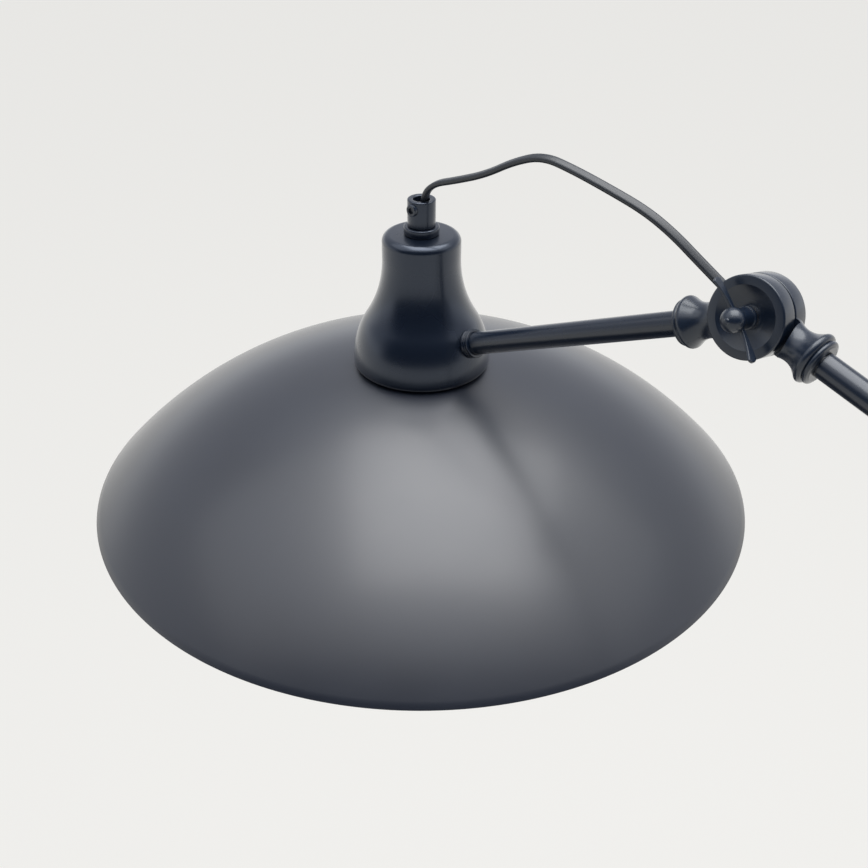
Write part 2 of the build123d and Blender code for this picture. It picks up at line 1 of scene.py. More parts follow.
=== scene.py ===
import bpy
import json
from math import atan2, cos, hypot, pi, radians, sin, sqrt, tan
from mathutils import Matrix, Vector


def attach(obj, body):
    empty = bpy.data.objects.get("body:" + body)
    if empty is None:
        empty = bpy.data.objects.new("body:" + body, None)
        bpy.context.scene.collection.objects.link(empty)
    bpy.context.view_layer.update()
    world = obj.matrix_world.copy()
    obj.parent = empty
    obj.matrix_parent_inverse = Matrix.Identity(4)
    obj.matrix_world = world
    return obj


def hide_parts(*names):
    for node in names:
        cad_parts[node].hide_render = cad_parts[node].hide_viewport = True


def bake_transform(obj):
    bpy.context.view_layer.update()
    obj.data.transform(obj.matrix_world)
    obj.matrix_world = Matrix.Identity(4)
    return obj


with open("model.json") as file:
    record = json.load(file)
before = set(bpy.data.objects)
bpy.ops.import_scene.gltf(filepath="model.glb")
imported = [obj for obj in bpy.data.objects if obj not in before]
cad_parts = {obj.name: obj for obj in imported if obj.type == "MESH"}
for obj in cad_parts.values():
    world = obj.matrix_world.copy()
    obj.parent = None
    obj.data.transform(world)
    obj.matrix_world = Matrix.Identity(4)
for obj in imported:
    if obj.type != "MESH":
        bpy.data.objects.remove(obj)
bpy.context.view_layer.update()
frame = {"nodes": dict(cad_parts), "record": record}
scene = bpy.context.scene
scene.view_settings.view_transform = "Standard"
print("frame loaded,", len(frame["nodes"]), "nodes")

# how the lamp stands at rest, millimetres and degrees
stance = {
    "poleKnuckle": 1290.0,
    "boomLength": 400.0,
    "boomRise": 15.0,
    "headRoll": 13.8,
    "headBend": 39.3,
    "armLength": 202.4,
    "armHeight": 87.3,
}


def mm(value):
    return value / 1000


def placement(origin, along, upright):
    side = upright.cross(along)
    turn = Matrix((along, side, upright)).transposed().to_4x4()
    return Matrix.Translation(origin) @ turn


def across(direction):
    return direction.orthogonal().normalized()


upward = Vector((0, 0, 1))
sideways = Vector((0, 1, 0))
rise = radians(stance["boomRise"])
roll = radians(stance["headRoll"])
boomDirection = Vector((cos(rise), 0, sin(rise)))
boomUpright = Vector((-sin(rise), 0, cos(rise)))
poleCentre = upward * mm(stance["poleKnuckle"])
headCentre = poleCentre + boomDirection * mm(stance["boomLength"])
headAxis = sideways * cos(roll) + boomUpright * sin(roll)
armDirection = Matrix.Rotation(radians(stance["headBend"]), 3, headAxis) @ boomDirection
cupCrossing = headCentre + armDirection * mm(stance["armLength"])
rimCentre = cupCrossing - upward * mm(stance["armHeight"])
towardsArm = Vector((-armDirection.x, -armDirection.y, 0)).normalized()

shadePlace = placement(rimCentre, towardsArm, upward)
armPlace = placement(cupCrossing, across(armDirection), -armDirection)
boomPlace = placement(poleCentre, across(boomDirection), boomDirection)
headFront = placement(headCentre, armDirection, headAxis)
headBack = placement(headCentre, -boomDirection, headAxis)
poleFront = placement(poleCentre, boomDirection, sideways)
poleBack = placement(poleCentre, -upward, sideways)
standing = Matrix.Identity(4)
ontoX = Matrix.Rotation(pi / 2, 4, "Y")  # a turned piece laid along X


# camera of the photograph, fitted to the rim, the dome and the knuckle
view = {
    "place": (0.13146, 0.41114, 1.62517),
    "turn": (57.7445, -0.2902, -131.4711),
    "lens": 49.89,
    "sensor": 36,
}
cameraData = bpy.data.cameras.new("photoCamera")
cameraData.lens = view["lens"]
cameraData.sensor_width = view["sensor"]
camera = bpy.data.objects.new("photoCamera", cameraData)
camera.location = view["place"]
camera.rotation_euler = [radians(a) for a in view["turn"]]
scene.collection.objects.link(camera)
scene.camera = camera
print("camera set")


# materials

def tone(code):
    # sRGB hex value to linear colour
    channels = [int(code[i:i + 2], 16) / 255 for i in (1, 3, 5)]
    return [c / 12.92 if c <= 0.04045 else ((c + 0.055) / 1.055) ** 2.4 for c in channels] + [1.0]


def addNode(tree, kind, settings=None, links=None):
    node = tree.nodes.new(kind)
    for key, value in (settings or {}).items():
        if isinstance(key, int) or key in node.inputs:  # an input by its place or its name
            node.inputs[key].default_value = value
        else:
            setattr(node, key, value)
    for key, source in (links or {}).items():
        tree.links.new(source, node.inputs[key])
    return node


def perMm(size):
    return 1000 / size  # pattern scale for features of that many millimetres


def newMaterial(name, sockets):
    material = bpy.data.materials.new(name)
    material.use_nodes = True
    tree = material.node_tree
    shader = tree.nodes["Principled BSDF"]
    for key, value in sockets.items():
        shader.inputs[key].default_value = value
    coords = addNode(tree, "ShaderNodeTexCoord")
    return material, tree, shader, coords.outputs["Object"]


# slow drift of colour and gloss: noise under low gives the first value of each, noise over high the second
drift = {"detail": 3.0, "low": 0.3, "high": 0.7}


def mottle(tree, shader, coords, patch, colours, gloss):
    noise = addNode(tree, "ShaderNodeTexNoise", {"Scale": perMm(patch), "Detail": drift["detail"]},
                    {"Vector": coords})
    ramp = addNode(tree, "ShaderNodeValToRGB", links={"Fac": noise.outputs["Fac"]})
    for stop, position, colour in zip(ramp.color_ramp.elements, (drift["low"], drift["high"]), colours):
        stop.position = position
        stop.color = tone(colour)
    span = addNode(tree, "ShaderNodeMapRange", {
        "From Min": drift["low"], "From Max": drift["high"], "To Min": gloss[0], "To Max": gloss[1],
    }, {"Value": noise.outputs["Fac"]})
    tree.links.new(ramp.outputs["Color"], shader.inputs["Base Color"])
    tree.links.new(span.outputs["Result"], shader.inputs["Roughness"])
    return noise.outputs["Fac"]


# powder coat baked on metal: blue-black with soft wide reflections,
# a brighter sheen at the edges and faint orange peel
powder = {"patch": 45, "sheenIor": 1.25, "peelDetail": 2.0, "peelStrength": 0.35}


def makeCoat(name, colours, gloss, tint, ior, peel, depth, sheen):
    material, tree, shader, coords = newMaterial(name, {
        "IOR": ior, "Specular Tint": tone(tint),
        "Coat Weight": 1.0, "Coat IOR": powder["sheenIor"], "Coat Roughness": sheen,
    })
    mottle(tree, shader, coords, powder["patch"], colours, gloss)
    grain = addNode(tree, "ShaderNodeTexNoise", {"Scale": perMm(peel), "Detail": powder["peelDetail"]},
                    {"Vector": coords})
    bump = addNode(tree, "ShaderNodeBump", {"Distance": mm(depth), "Strength": powder["peelStrength"]},
                   {"Height": grain.outputs["Fac"]})
    tree.links.new(bump.outputs["Normal"], shader.inputs["Normal"])
    return material


plainRelief = 0.4  # strength of the slight unevenness of the other finishes


def makePlain(name, colours, gloss, patch, depth, metallic=0.0, ior=1.5):
    material, tree, shader, coords = newMaterial(name, {"Metallic": metallic, "IOR": ior})
    cloud = mottle(tree, shader, coords, patch, colours, gloss)
    bump = addNode(tree, "ShaderNodeBump", {"Distance": mm(depth), "Strength": plainRelief},
                   {"Height": cloud})
    tree.links.new(bump.outputs["Normal"], shader.inputs["Normal"])
    return material


# spun shade and base cover: open satin sheen
satinCoat = makeCoat("satinBlackPowderCoat", ("#141c2b", "#18202f"), (0.4, 0.44),
                     tint="#f6f5f4", ior=1.8, peel=1.6, depth=0.012, sheen=0.22)
# cup and cord exit: closer and smoother, cooler highlights
cupCoat = makeCoat("spunCupPowderCoat", ("#121a27", "#161e2b"), (0.26, 0.3),
                   tint="#c8d7f0", ior=1.68, peel=1.2, depth=0.003, sheen=0.18)
# tubes: as smooth as the cup, neutral highlights
tubeCoat = makeCoat("smoothBlackPowderCoat", ("#142032", "#182436"), (0.26, 0.3),
                    tint="#dcdfe2", ior=1.68, peel=1.2, depth=0.003, sheen=0.18)
# castings: a little duller, with more orange peel
castCoat = makeCoat("castBlackPowderCoat", ("#162336", "#1a273a"), (0.3, 0.36),
                    tint="#d6dadc", ior=1.68, peel=2.2, depth=0.008, sheen=0.2)
# wet enamel sprayed inside the shade to throw the light down: warm white, smooth
whiteEnamel = makePlain("whiteReflectorEnamel", ("#efece5", "#f2f0ea"), (0.3, 0.34), 45, 0.002)
# soft PVC pulled over two wires: dull sheen
cordSheath = makePlain("softGreyBlackPvc", ("#292e35", "#2f343b"), (0.34, 0.4), 14, 0.002, ior=1.6)
# zinc plated steel: cool grey metal with a faint tarnish
zincSteel = makePlain("zincPlatedSteel", ("#9a9da1", "#b4b6b8"), (0.3, 0.45), 3, 0.004, metallic=1.0)
# grey iron as cast, hidden under the cover: dark, rough and dull
castIron = makePlain("roughCastIron", ("#3a3836", "#4a4846"), (0.7, 0.85), 2.5, 0.15, metallic=0.6)
# moulded rubber, matt and slightly dusty
softRubber = makePlain("mouldedRubber", ("#1a1a1a", "#232323"), (0.75, 0.9), 2, 0.03)
# glass-filled nylon knob, fine spark-eroded texture
knobPlastic = makePlain("texturedNylon", ("#151517", "#1d1d20"), (0.45, 0.58), 0.9, 0.03)
# turned natural nylon, milky and half matt
bushNylon = makePlain("naturalNylon", ("#d9d5c8", "#e4e1d6"), (0.5, 0.6), 6, 0.01)
# pressed vulcanised fibre, reddish brown and dry
washerFibre = makePlain("vulcanisedFibre", ("#4a2f24", "#5a3b2d"), (0.7, 0.85), 1.2, 0.03)
# phenolic moulding of the lampholder, near black with a soft shine
holderPlastic = makePlain("phenolicMoulding", ("#17171a", "#1f1f22"), (0.3, 0.42), 8, 0.01)
# unglazed porcelain, off-white and chalky
porcelain = makePlain("unglazedPorcelain", ("#dcd8cf", "#e6e3da"), (0.55, 0.7), 5, 0.01)
# pressed brass sheet, warm yellow metal
brass = makePlain("pressedBrass", ("#b08d4c", "#c29f5c"), (0.28, 0.4), 4, 0.004, metallic=1.0)
# etched glass globe, white inside: milky with a soft shine
opalGlass = makePlain("opalGlass", ("#efece4", "#f6f4ee"), (0.2, 0.28), 12, 0.004)
print("materials made")


# modelling helpers

weld = 1e-6  # metres: points closer than this become one


def clearSelection():
    if bpy.context.object and bpy.context.object.mode != "OBJECT":
        bpy.ops.object.mode_set(mode="OBJECT")
    bpy.ops.object.select_all(action="DESELECT")


def takeUp(piece):
    clearSelection()
    piece.select_set(True)
    bpy.context.view_layer.objects.active = piece


def arcThrough(first, middle, last, count):
    # points of an outline on the circle through three of them, ends included
    (ax, ay), (bx, by), (cx, cy) = first, middle, last
    d = 2 * (ax * (by - cy) + bx * (cy - ay) + cx * (ay - by))
    a, b, c = ax * ax + ay * ay, bx * bx + by * by, cx * cx + cy * cy
    ux = (a * (by - cy) + b * (cy - ay) + c * (ay - by)) / d
    uy = (a * (cx - bx) + b * (ax - cx) + c * (bx - ax)) / d
    radius = hypot(ax - ux, ay - uy)
    start, half, end = [atan2(y - uy, x - ux) for x, y in (first, middle, last)]
    swing = (end - start) % (2 * pi)
    if (half - start) % (2 * pi) > swing:
        swing -= 2 * pi
    angles = [start + swing * i / count for i in range(count + 1)]
    return [(ux + radius * cos(t), uy + radius * sin(t)) for t in angles]


def turnPiece(name, outline, steps=96, ring=True):
    # a circle is drawn out along the outline, radius and height in mm; ring: the outline closes on itself
    clearSelection()
    radius, height = outline[0]
    bpy.ops.mesh.primitive_circle_add(vertices=steps, radius=mm(radius), location=(0, 0, mm(height)))
    piece = bpy.context.object
    piece.name = piece.data.name = name
    bpy.ops.object.mode_set(mode="EDIT")
    bpy.ops.mesh.select_all(action="SELECT")
    stops = outline[1:] + outline[:1] if ring else outline[1:]
    for nextRadius, nextHeight in stops:
        bpy.ops.mesh.extrude_region_move(TRANSFORM_OT_translate={"value": (0, 0, mm(nextHeight - height))})
        size = nextRadius / radius
        bpy.ops.transform.resize(value=(size, size, 1), center_override=(0, 0, mm(nextHeight)))
        radius, height = nextRadius, nextHeight
    bpy.ops.mesh.select_all(action="SELECT")
    bpy.ops.mesh.remove_doubles(threshold=weld)
    if not ring:
        bpy.ops.mesh.fill_holes(sides=0)
    bpy.ops.mesh.normals_make_consistent(inside=False)
    bpy.ops.object.mode_set(mode="OBJECT")
    return piece


def settle(piece, place):
    takeUp(piece)
    piece.matrix_world = place @ piece.matrix_world
    bpy.ops.object.transform_apply(location=True, rotation=True, scale=True)
    return piece


def combine(piece, other, operation):
    takeUp(piece)
    cut = piece.modifiers.new("combine", "BOOLEAN")
    cut.operation = operation
    cut.solver = "EXACT"
    cut.object = other
    bpy.ops.object.modifier_apply(modifier=cut.name)
    bpy.data.objects.remove(other)
    return piece


def softenEdges(piece, width, segments=2, limit=40):
    takeUp(piece)
    bevel = piece.modifiers.new("softEdges", "BEVEL")
    bevel.width = mm(width)
    bevel.segments = segments
    bevel.limit_method = "ANGLE"
    bevel.angle_limit = radians(limit)
    bpy.ops.object.modifier_apply(modifier=bevel.name)
    return piece


def finishPiece(piece, node, body, *coats, smooth=30):
    takeUp(piece)
    bpy.ops.object.shade_smooth_by_angle(angle=radians(smooth))
    for coat in coats:
        piece.data.materials.append(coat)
    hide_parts(node)
    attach(piece, body)
    return piece


# shade: spun dome, black outside and white inside
dome = {"rim": 185.0, "hole": 20.2, "crown": 250.0, "wall": 1.2, "edge": 0.25, "steps": 256, "rings": 44}
rimDrop = sqrt(dome["crown"] ** 2 - dome["rim"] ** 2)


def domeHeight(radius, crown):
    return sqrt(crown ** 2 - radius ** 2) - rimDrop


def domeArc(start, end, crown):
    middle = (start + end) / 2
    points = [(r, domeHeight(r, crown)) for r in (start, middle, end)]
    return arcThrough(*points, dome["rings"])


innerCrown = dome["crown"] - dome["wall"]
innerRim = dome["rim"] - dome["wall"] * dome["rim"] / dome["crown"]
outside = domeArc(dome["hole"], dome["rim"], dome["crown"])
inside = domeArc(innerRim, dome["hole"], innerCrown)
shadePiece = turnPiece("domeShade", outside + inside, dome["steps"])
softenEdges(shadePiece, dome["edge"])
shadePiece.data.materials.append(satinCoat)
shadePiece.data.materials.append(whiteEnamel)
sphereCentre = Vector((0, 0, mm(-rimDrop)))
for face in shadePiece.data.polygons:
    inward = face.normal.dot(face.center - sphereCentre) < 0
    face.material_index = 1 if inward else 0
settle(shadePiece, shadePlace)
finishPiece(shadePiece, "shade", "shade")
print("shade made")


# socket cup: bell with a swelling foot and a flat crown
bell = {
    "base": 37.0, "top": 20.7, "foot": 4.0, "swell": 46.0, "lean": 31.8, "edge": 3.5, "mouth": 32.0,
    "crownEdge": 4.2, "ceiling": 154.9, "wall": 1.6, "hole": 5.02, "lift": 0.02,
    "steps": 144, "edgeSteps": 8, "wallSteps": 16, "crownSteps": 10,
}
bellBottom = domeHeight(bell["mouth"], dome["crown"]) + bell["lift"]


def bellWall(offset):
    # from the foot's underside up to the crown's edge
    lean = radians(bell["lean"])
    base, top = bell["base"] - offset, bell["top"] - offset
    swell = bell["swell"] - offset
    throat = (base - top) / (1 - cos(lean)) - swell
    bottom = bellBottom + offset
    foot = bellBottom + bell["foot"]
    edge = bell["edge"] - offset
    ceiling = bell["ceiling"] - offset
    crown = bell["crownEdge"] - offset

    def swellAt(angle):
        return (base - swell * (1 - cos(angle)), foot + swell * sin(angle))

    meet = swellAt(lean)
    throatTop = (top, meet[1] + throat * sin(lean))

    def throatAt(angle):
        return (top + throat * (1 - cos(angle)), throatTop[1] - throat * sin(angle))

    diagonal = sqrt(0.5)
    footCorner = (base - edge + edge * diagonal, bottom + edge * (1 - diagonal))
    points = arcThrough((base - edge, bottom), footCorner, (base, bottom + edge), bell["edgeSteps"])
    points += arcThrough((base, foot), swellAt(lean / 2), meet, bell["wallSteps"])
    points += arcThrough(meet, throatAt(lean / 2), throatTop, bell["wallSteps"])[1:]
    corner = crown * (1 - diagonal)
    crownCorner = (top - corner, ceiling - corner)
    points += arcThrough((top, ceiling - crown), crownCorner, (top - crown, ceiling), bell["crownSteps"])
    return points


outerBell = [(bell["mouth"], bellBottom)] + bellWall(0)
innerBell = [(bell["mouth"], bellBottom + bell["wall"])] + bellWall(bell["wall"])
crownRing = [(bell["hole"], bell["ceiling"]), (bell["hole"], bell["ceiling"] - bell["wall"])]
cupPiece = turnPiece("bellCup", outerBell + crownRing + innerBell[::-1], bell["steps"])
settle(cupPiece, shadePlace)
finishPiece(cupPiece, "socket_cup", "shade", cupCoat)

# cord exit on the cup: round nut and grip
collar = {"radius": 9.3, "bore": 5.02, "height": 4.4, "edge": 0.8, "edgeSteps": 4}
nutTop = bell["ceiling"] + collar["height"]
nutOutline = [
    (collar["bore"], bell["ceiling"]), (collar["radius"], bell["ceiling"]),
    (collar["radius"], nutTop), (collar["bore"], nutTop),
]
nutPiece = turnPiece("roundCollarNut", nutOutline)
softenEdges(nutPiece, collar["edge"], collar["edgeSteps"])
settle(nutPiece, shadePlace)
finishPiece(nutPiece, "collar_nut", "shade", cupCoat)

grip = {
    "radius": 7.35, "bore": 4.3, "top": 173.8, "floor": 165.0, "web": 2.0, "eye": 0.4, "nipple": 5.02,
    "edge": 0.7, "edgeSteps": 4,
}
webBottom = grip["floor"] - grip["web"]
gripOutline = [
    (grip["nipple"], nutTop), (grip["radius"], nutTop), (grip["radius"], grip["top"]),
    (grip["bore"], grip["top"]), (grip["bore"], grip["floor"]), (grip["eye"], grip["floor"]),
    (grip["eye"], webBottom), (grip["nipple"], webBottom),
]
gripPiece = turnPiece("cordGrip", gripOutline)
softenEdges(gripPiece, grip["edge"], grip["edgeSteps"])
settle(gripPiece, shadePlace)
finishPiece(gripPiece, "cord_grip", "shade", cupCoat)
print("cup and cord exit made")


# arm: tube and ridged collar against the cup
tubeSteps = 64  # sides of the arm, the boom and the poles
arm = {"radius": 6.0, "bore": 5.0, "start": 37.6, "end": 174.4}
armOutline = [
    (arm["radius"], arm["start"]), (arm["radius"], arm["end"]),
    (arm["bore"], arm["end"]), (arm["bore"], arm["start"]),
]
armPiece = turnPiece("armTube", armOutline, tubeSteps)
settle(armPiece, armPlace)
finishPiece(armPiece, "arm_tube", "arm", tubeCoat)

ridge = {
    "radius": 7.6, "root": 7.1, "bore": 6.02, "seat": 4.97, "start": 33.0, "ledge": 37.6, "end": 40.4,
    "grooves": (37.4, 38.7), "groove": 0.5, "edge": 0.22, "edgeSteps": 3, "gap": 0.4, "core": 0.5,
}
ridgeOutline = [(ridge["seat"], ridge["start"]), (ridge["radius"], ridge["start"])]
for low in ridge["grooves"]:
    high = low + ridge["groove"]
    ridgeOutline += [(ridge["radius"], low), (ridge["root"], low),
                     (ridge["root"], high), (ridge["radius"], high)]
ridgeOutline += [
    (ridge["radius"], ridge["end"]), (ridge["bore"], ridge["end"]),
    (ridge["bore"], ridge["ledge"]), (ridge["seat"], ridge["ledge"]),
]
ridgePiece = turnPiece("armCollar", ridgeOutline)
softenEdges(ridgePiece, ridge["edge"], ridge["edgeSteps"])
settle(ridgePiece, armPlace)
# the collar's inner end follows the cup, a small gap away
envelope = [(ridge["core"], bellBottom - ridge["gap"])] + bellWall(-ridge["gap"])
envelope += [(ridge["core"], bell["ceiling"] + ridge["gap"])]
cupRoom = settle(turnPiece("cupRoom", envelope, bell["steps"], ring=False), shadePlace)
combine(ridgePiece, cupRoom, "DIFFERENCE")
finishPiece(ridgePiece, "arm_collar", "arm", tubeCoat)
print("arm made")


# knuckles: two half drums, each with a turned ferrule
knuckle = {
    "radius": 18.4, "front": 9.6, "back": 9.2, "gap": 2.2, "splitFront": 0.45, "splitBack": 0.15,
    "edge": 0.8, "edgeSteps": 5, "edgeLimit": 70, "dish": 14.2, "dishShoulder": (10.9, 8.0),
    "dishFloor": (7.2, 6.7), "bore": 3.1, "seat": 14.02, "seatDepth": 1.2, "sink": 0.3, "clear": 40.0,
    "steps": 128, "dishSteps": 8, "smooth": 21,
}
ferrule = {
    "root": 10.0, "neck": (9.4, 17.5), "waist": (8.1, 22.6), "flare": (9.9, 28.2),
    "bead": [(11.3, 30.2), (12.0, 31.9), (10.7, 33.6)], "lip": [(10.1, 33.8), (10.6, 34.9), (9.4, 36.0)],
    "mouth": 8.6, "length": 36.4, "socket": 28.0, "core": 1.0, "waistSteps": 14, "beadSteps": 10,
}
# each half: CAD node, body, place, growth of the ferrule's radius, the socket's radius, front or back
castings = {
    "headFrontHalf": ("head_front_half", "arm", headFront, 0.0, 6.02, True),
    "headBackHalf": ("head_back_half", "head swivel", headBack, 0.0, 4.85, False),
    "poleFrontHalf": ("pole_front_half", "boom", poleFront, 0.0, 6.02, True),
    "poleBackHalf": ("pole_back_half", "pole head", poleBack, 2.0, 6.85, False),
}


def ferruleOutline(grow, socket):
    def out(point):
        return (point[0] + grow, point[1])

    neck, mouth = ferrule["neck"], ferrule["mouth"] + grow
    bead = [out(p) for p in ferrule["bead"]]
    lip = [out(p) for p in ferrule["lip"]]
    points = [(ferrule["core"], ferrule["root"]), (neck[0], ferrule["root"])]
    points += arcThrough(neck, out(ferrule["waist"]), out(ferrule["flare"]), ferrule["waistSteps"])
    points += arcThrough(*bead, ferrule["beadSteps"])
    points += arcThrough(*lip, ferrule["beadSteps"])
    points += [(mouth, ferrule["length"]), (socket, ferrule["length"]), (socket, ferrule["socket"]),
               (ferrule["core"], ferrule["socket"])]
    return points


def castHalf(name, node, body, place, grow, socket, front):
    radius, bore, sink, steps = knuckle["radius"], knuckle["bore"], knuckle["sink"], knuckle["steps"]
    split = knuckle["splitFront"] if front else -knuckle["splitBack"]
    face = knuckle["front"] if front else -knuckle["back"]
    if front:
        bowl = arcThrough((knuckle["dish"], face), knuckle["dishShoulder"], knuckle["dishFloor"],
                          knuckle["dishSteps"])
        outline = [(bore, split), (radius, split), (radius, face)] + bowl + [(bore, knuckle["dishFloor"][1])]
        faceRoom = [(reach, height - sink) for reach, height in bowl[::-1]]
    else:
        floor = split - knuckle["seatDepth"]
        outline = [(bore, floor), (knuckle["seat"], floor), (knuckle["seat"], split),
                   (radius, split), (radius, face), (bore, face)]
        faceRoom = [(radius - knuckle["edge"], face + sink)]
    drum = turnPiece(name, outline, steps)
    softenEdges(drum, knuckle["edge"], knuckle["edgeSteps"], knuckle["edgeLimit"])
    stem = settle(turnPiece("stem", ferruleOutline(grow, socket)), ontoX)
    # room for the other half to turn
    room = radius + knuckle["gap"]
    far = -knuckle["clear"] if front else knuckle["clear"]
    roomPiece = turnPiece("room", [(room, split), (room, far)], steps, ring=False)
    combine(stem, roomPiece, "DIFFERENCE")
    # the ferrule's root stays under the dish and the flat back
    facePiece = turnPiece("faceRoom", faceRoom + [(faceRoom[-1][0], -far)], steps, ring=False)
    combine(stem, facePiece, "DIFFERENCE")
    combine(drum, stem, "UNION")
    settle(drum, place)
    return finishPiece(drum, node, body, castCoat, smooth=knuckle["smooth"])


for name, casting in castings.items():
    castHalf(name, *casting)
print("knuckles made")


# wing screws: turned hub with a ball nose and two thin wings
wing = {
    "shank": 3.0, "end": -8.6, "seat": 8.2, "flange": (5.2, 1.2), "hub": (4.6, 3.0), "neck": 3.9,
    "ball": 5.5, "ballHeight": 19.3, "nub": (1.4, 1.0, 0.3), "angle": -70.5,
    "lower": [(1.0, 15.5), (11.0, 15.3), (18.6, 16.1)], "upper": [(1.0, 17.3), (10.5, 18.0), (18.2, 21.0)],
    "bulge": 1.3, "bulgePower": 6, "thickness": 2.0, "thin": 0.5, "columns": 14, "rows": 6,
    "hubEdge": 0.3, "hubEdgeSteps": 2, "bladeEdge": 0.35, "bladeEdgeSteps": 3, "ballSteps": 18,
}


def hubOutline():
    flangeRadius, nubRadius = wing["flange"][0], wing["nub"][0]
    flange = wing["seat"] + wing["flange"][1]
    ball, height = wing["ball"], wing["ballHeight"]
    low = height - sqrt(ball ** 2 - wing["neck"] ** 2)
    high = height + sqrt(ball ** 2 - nubRadius ** 2)
    points = [(wing["shank"], wing["end"]), (wing["shank"], wing["seat"]), (flangeRadius, wing["seat"]),
              (flangeRadius, flange), (wing["hub"][0], flange), (wing["neck"], flange + wing["hub"][1])]
    points += arcThrough((wing["neck"], low), (ball, height), (nubRadius, high), wing["ballSteps"])
    return points + [(wing["nub"][1], height + ball + wing["nub"][2])]


def wingBlade(name):
    clearSelection()
    bpy.ops.mesh.primitive_grid_add(x_subdivisions=wing["columns"], y_subdivisions=wing["rows"], size=2)
    blade = bpy.context.object
    blade.name = name
    lower = arcThrough(*wing["lower"], wing["columns"])
    upper = arcThrough(*wing["upper"], wing["columns"])
    edgeWeight = blade.vertex_groups.new(name="thickness")
    for vertex in blade.data.vertices:
        u, v = (vertex.co.x + 1) / 2, (vertex.co.y + 1) / 2
        column = round(u * wing["columns"])
        (lowReach, lowHeight), (highReach, highHeight) = lower[column], upper[column]
        bulge = wing["bulge"] * 4 * v * (1 - v) * u ** wing["bulgePower"]  # the tip is fullest at mid height
        reach = lowReach + (highReach - lowReach) * v + bulge
        vertex.co = (mm(reach), 0, mm(lowHeight + (highHeight - lowHeight) * v))
        edgeWeight.add([vertex.index], 1 - v * u, "REPLACE")
    takeUp(blade)
    wall = blade.modifiers.new("wall", "SOLIDIFY")
    wall.thickness = mm(wing["thickness"])
    wall.offset = 0
    wall.vertex_group = edgeWeight.name
    wall.thickness_vertex_group = wing["thin"]
    bpy.ops.object.modifier_apply(modifier=wall.name)
    blade.vertex_groups.clear()
    return softenEdges(blade, wing["bladeEdge"], wing["bladeEdgeSteps"])


def wingPiece(name, node, body, place):
    piece = turnPiece(name, hubOutline(), ring=False)
    softenEdges(piece, wing["hubEdge"], wing["hubEdgeSteps"])
    for half in (0, pi):
        blade = settle(wingBlade("blade"), Matrix.Rotation(half, 4, "Z"))
        combine(piece, blade, "UNION")
    takeUp(piece)
    bpy.ops.object.mode_set(mode="EDIT")
    bpy.ops.mesh.select_all(action="SELECT")
    bpy.ops.mesh.dissolve_degenerate(threshold=weld)
    bpy.ops.object.mode_set(mode="OBJECT")
    settle(piece, place @ Matrix.Rotation(radians(wing["angle"]), 4, "Z"))
    return finishPiece(piece, node, body, castCoat)


wingPiece("headWingScrew", "head_wing_screw", "head wing", headFront)
wingPiece("poleWingScrew", "pole_wing_screw", "pole wing", poleFront)
print("wing screws made")


# boom and pole tubes: CAD node, body, place, outer radius, bore, bottom, top
tubes = {
    "boomTube": ("boom_tube", "boom", boomPlace, 6.0, 5.0, 28.0, 363.3),
    "upperPoleTube": ("upper_pole", "upper pole", standing, 8.0, 6.8, 450.0, 1253.3),
    "lowerPoleTube": ("lower_pole", "base", standing, 10.0, 8.8, 33.0, 770.0),
}
for name, (node, body, place, outer, bore, bottom, top) in tubes.items():
    tube = turnPiece(name, [(outer, bottom), (outer, top), (bore, top), (bore, bottom)], tubeSteps)
    settle(tube, place)
    finishPiece(tube, node, body, tubeCoat)
print("tubes made")


# base: spun cover and the collar that holds the pole
foot = {
    "edge": 150.0, "bottom": 2.0, "shoulder": 14.0, "rounding": 4.0, "flat": (29.0, 30.0), "wall": 1.2,
    "hole": 6.2, "steps": 192, "roundingSteps": 8,
}


def coverWall(offset):
    edge, high = foot["edge"] - offset, foot["shoulder"] - offset
    flatRadius, flatHeight = foot["flat"][0], foot["flat"][1] - offset
    length = hypot(flatRadius - edge, flatHeight - high)
    reach = foot["rounding"] - offset
    inward = (edge + (flatRadius - edge) / length * reach, high + (flatHeight - high) / length * reach)
    down = (edge, high - reach)
    swing = atan2(high - flatHeight, edge - flatRadius) + pi / 2
    radius = reach / tan(swing / 2)
    middle = (edge - radius + radius * cos(swing / 2), down[1] + radius * sin(swing / 2))
    rounding = arcThrough(down, middle, inward, foot["roundingSteps"])
    return [(edge, foot["bottom"])] + rounding + [(flatRadius, flatHeight)]


coverTop = foot["flat"][1]
coverOutline = coverWall(0) + [(foot["hole"], coverTop), (foot["hole"], coverTop - foot["wall"])]
coverPiece = turnPiece("baseCover", coverOutline + coverWall(foot["wall"])[::-1], foot["steps"])
settle(coverPiece, standing)
finishPiece(coverPiece, "base_cover", "base", satinCoat)

socle = {
    "radius": 27.0, "bottom": 30.0, "brim": 33.0, "hollow": (16.4, 38.5), "neck": (14.0, 54.0),
    "bead": (15.6, 57.0), "top": (14.0, 60.0), "bore": 10.02, "hole": 6.2, "edge": 0.4, "edgeSteps": 3,
    "steps": 128, "hollowSteps": 16, "beadSteps": 12,
}
socleOutline = [(socle["hole"], socle["bottom"]), (socle["radius"], socle["bottom"])]
brimEdge = (socle["radius"], socle["brim"])
socleOutline += arcThrough(brimEdge, socle["hollow"], socle["neck"], socle["hollowSteps"])
socleOutline += arcThrough(socle["neck"], socle["bead"], socle["top"], socle["beadSteps"])[1:]
socleOutline += [(socle["bore"], socle["top"][1]), (socle["bore"], socle["brim"]),
                 (socle["hole"], socle["brim"])]
soclePiece = turnPiece("baseCollar", socleOutline, socle["steps"])
softenEdges(soclePiece, socle["edge"], socle["edgeSteps"])
settle(soclePiece, standing)
finishPiece(soclePiece, "base_collar", "base", castCoat)
print("base made")


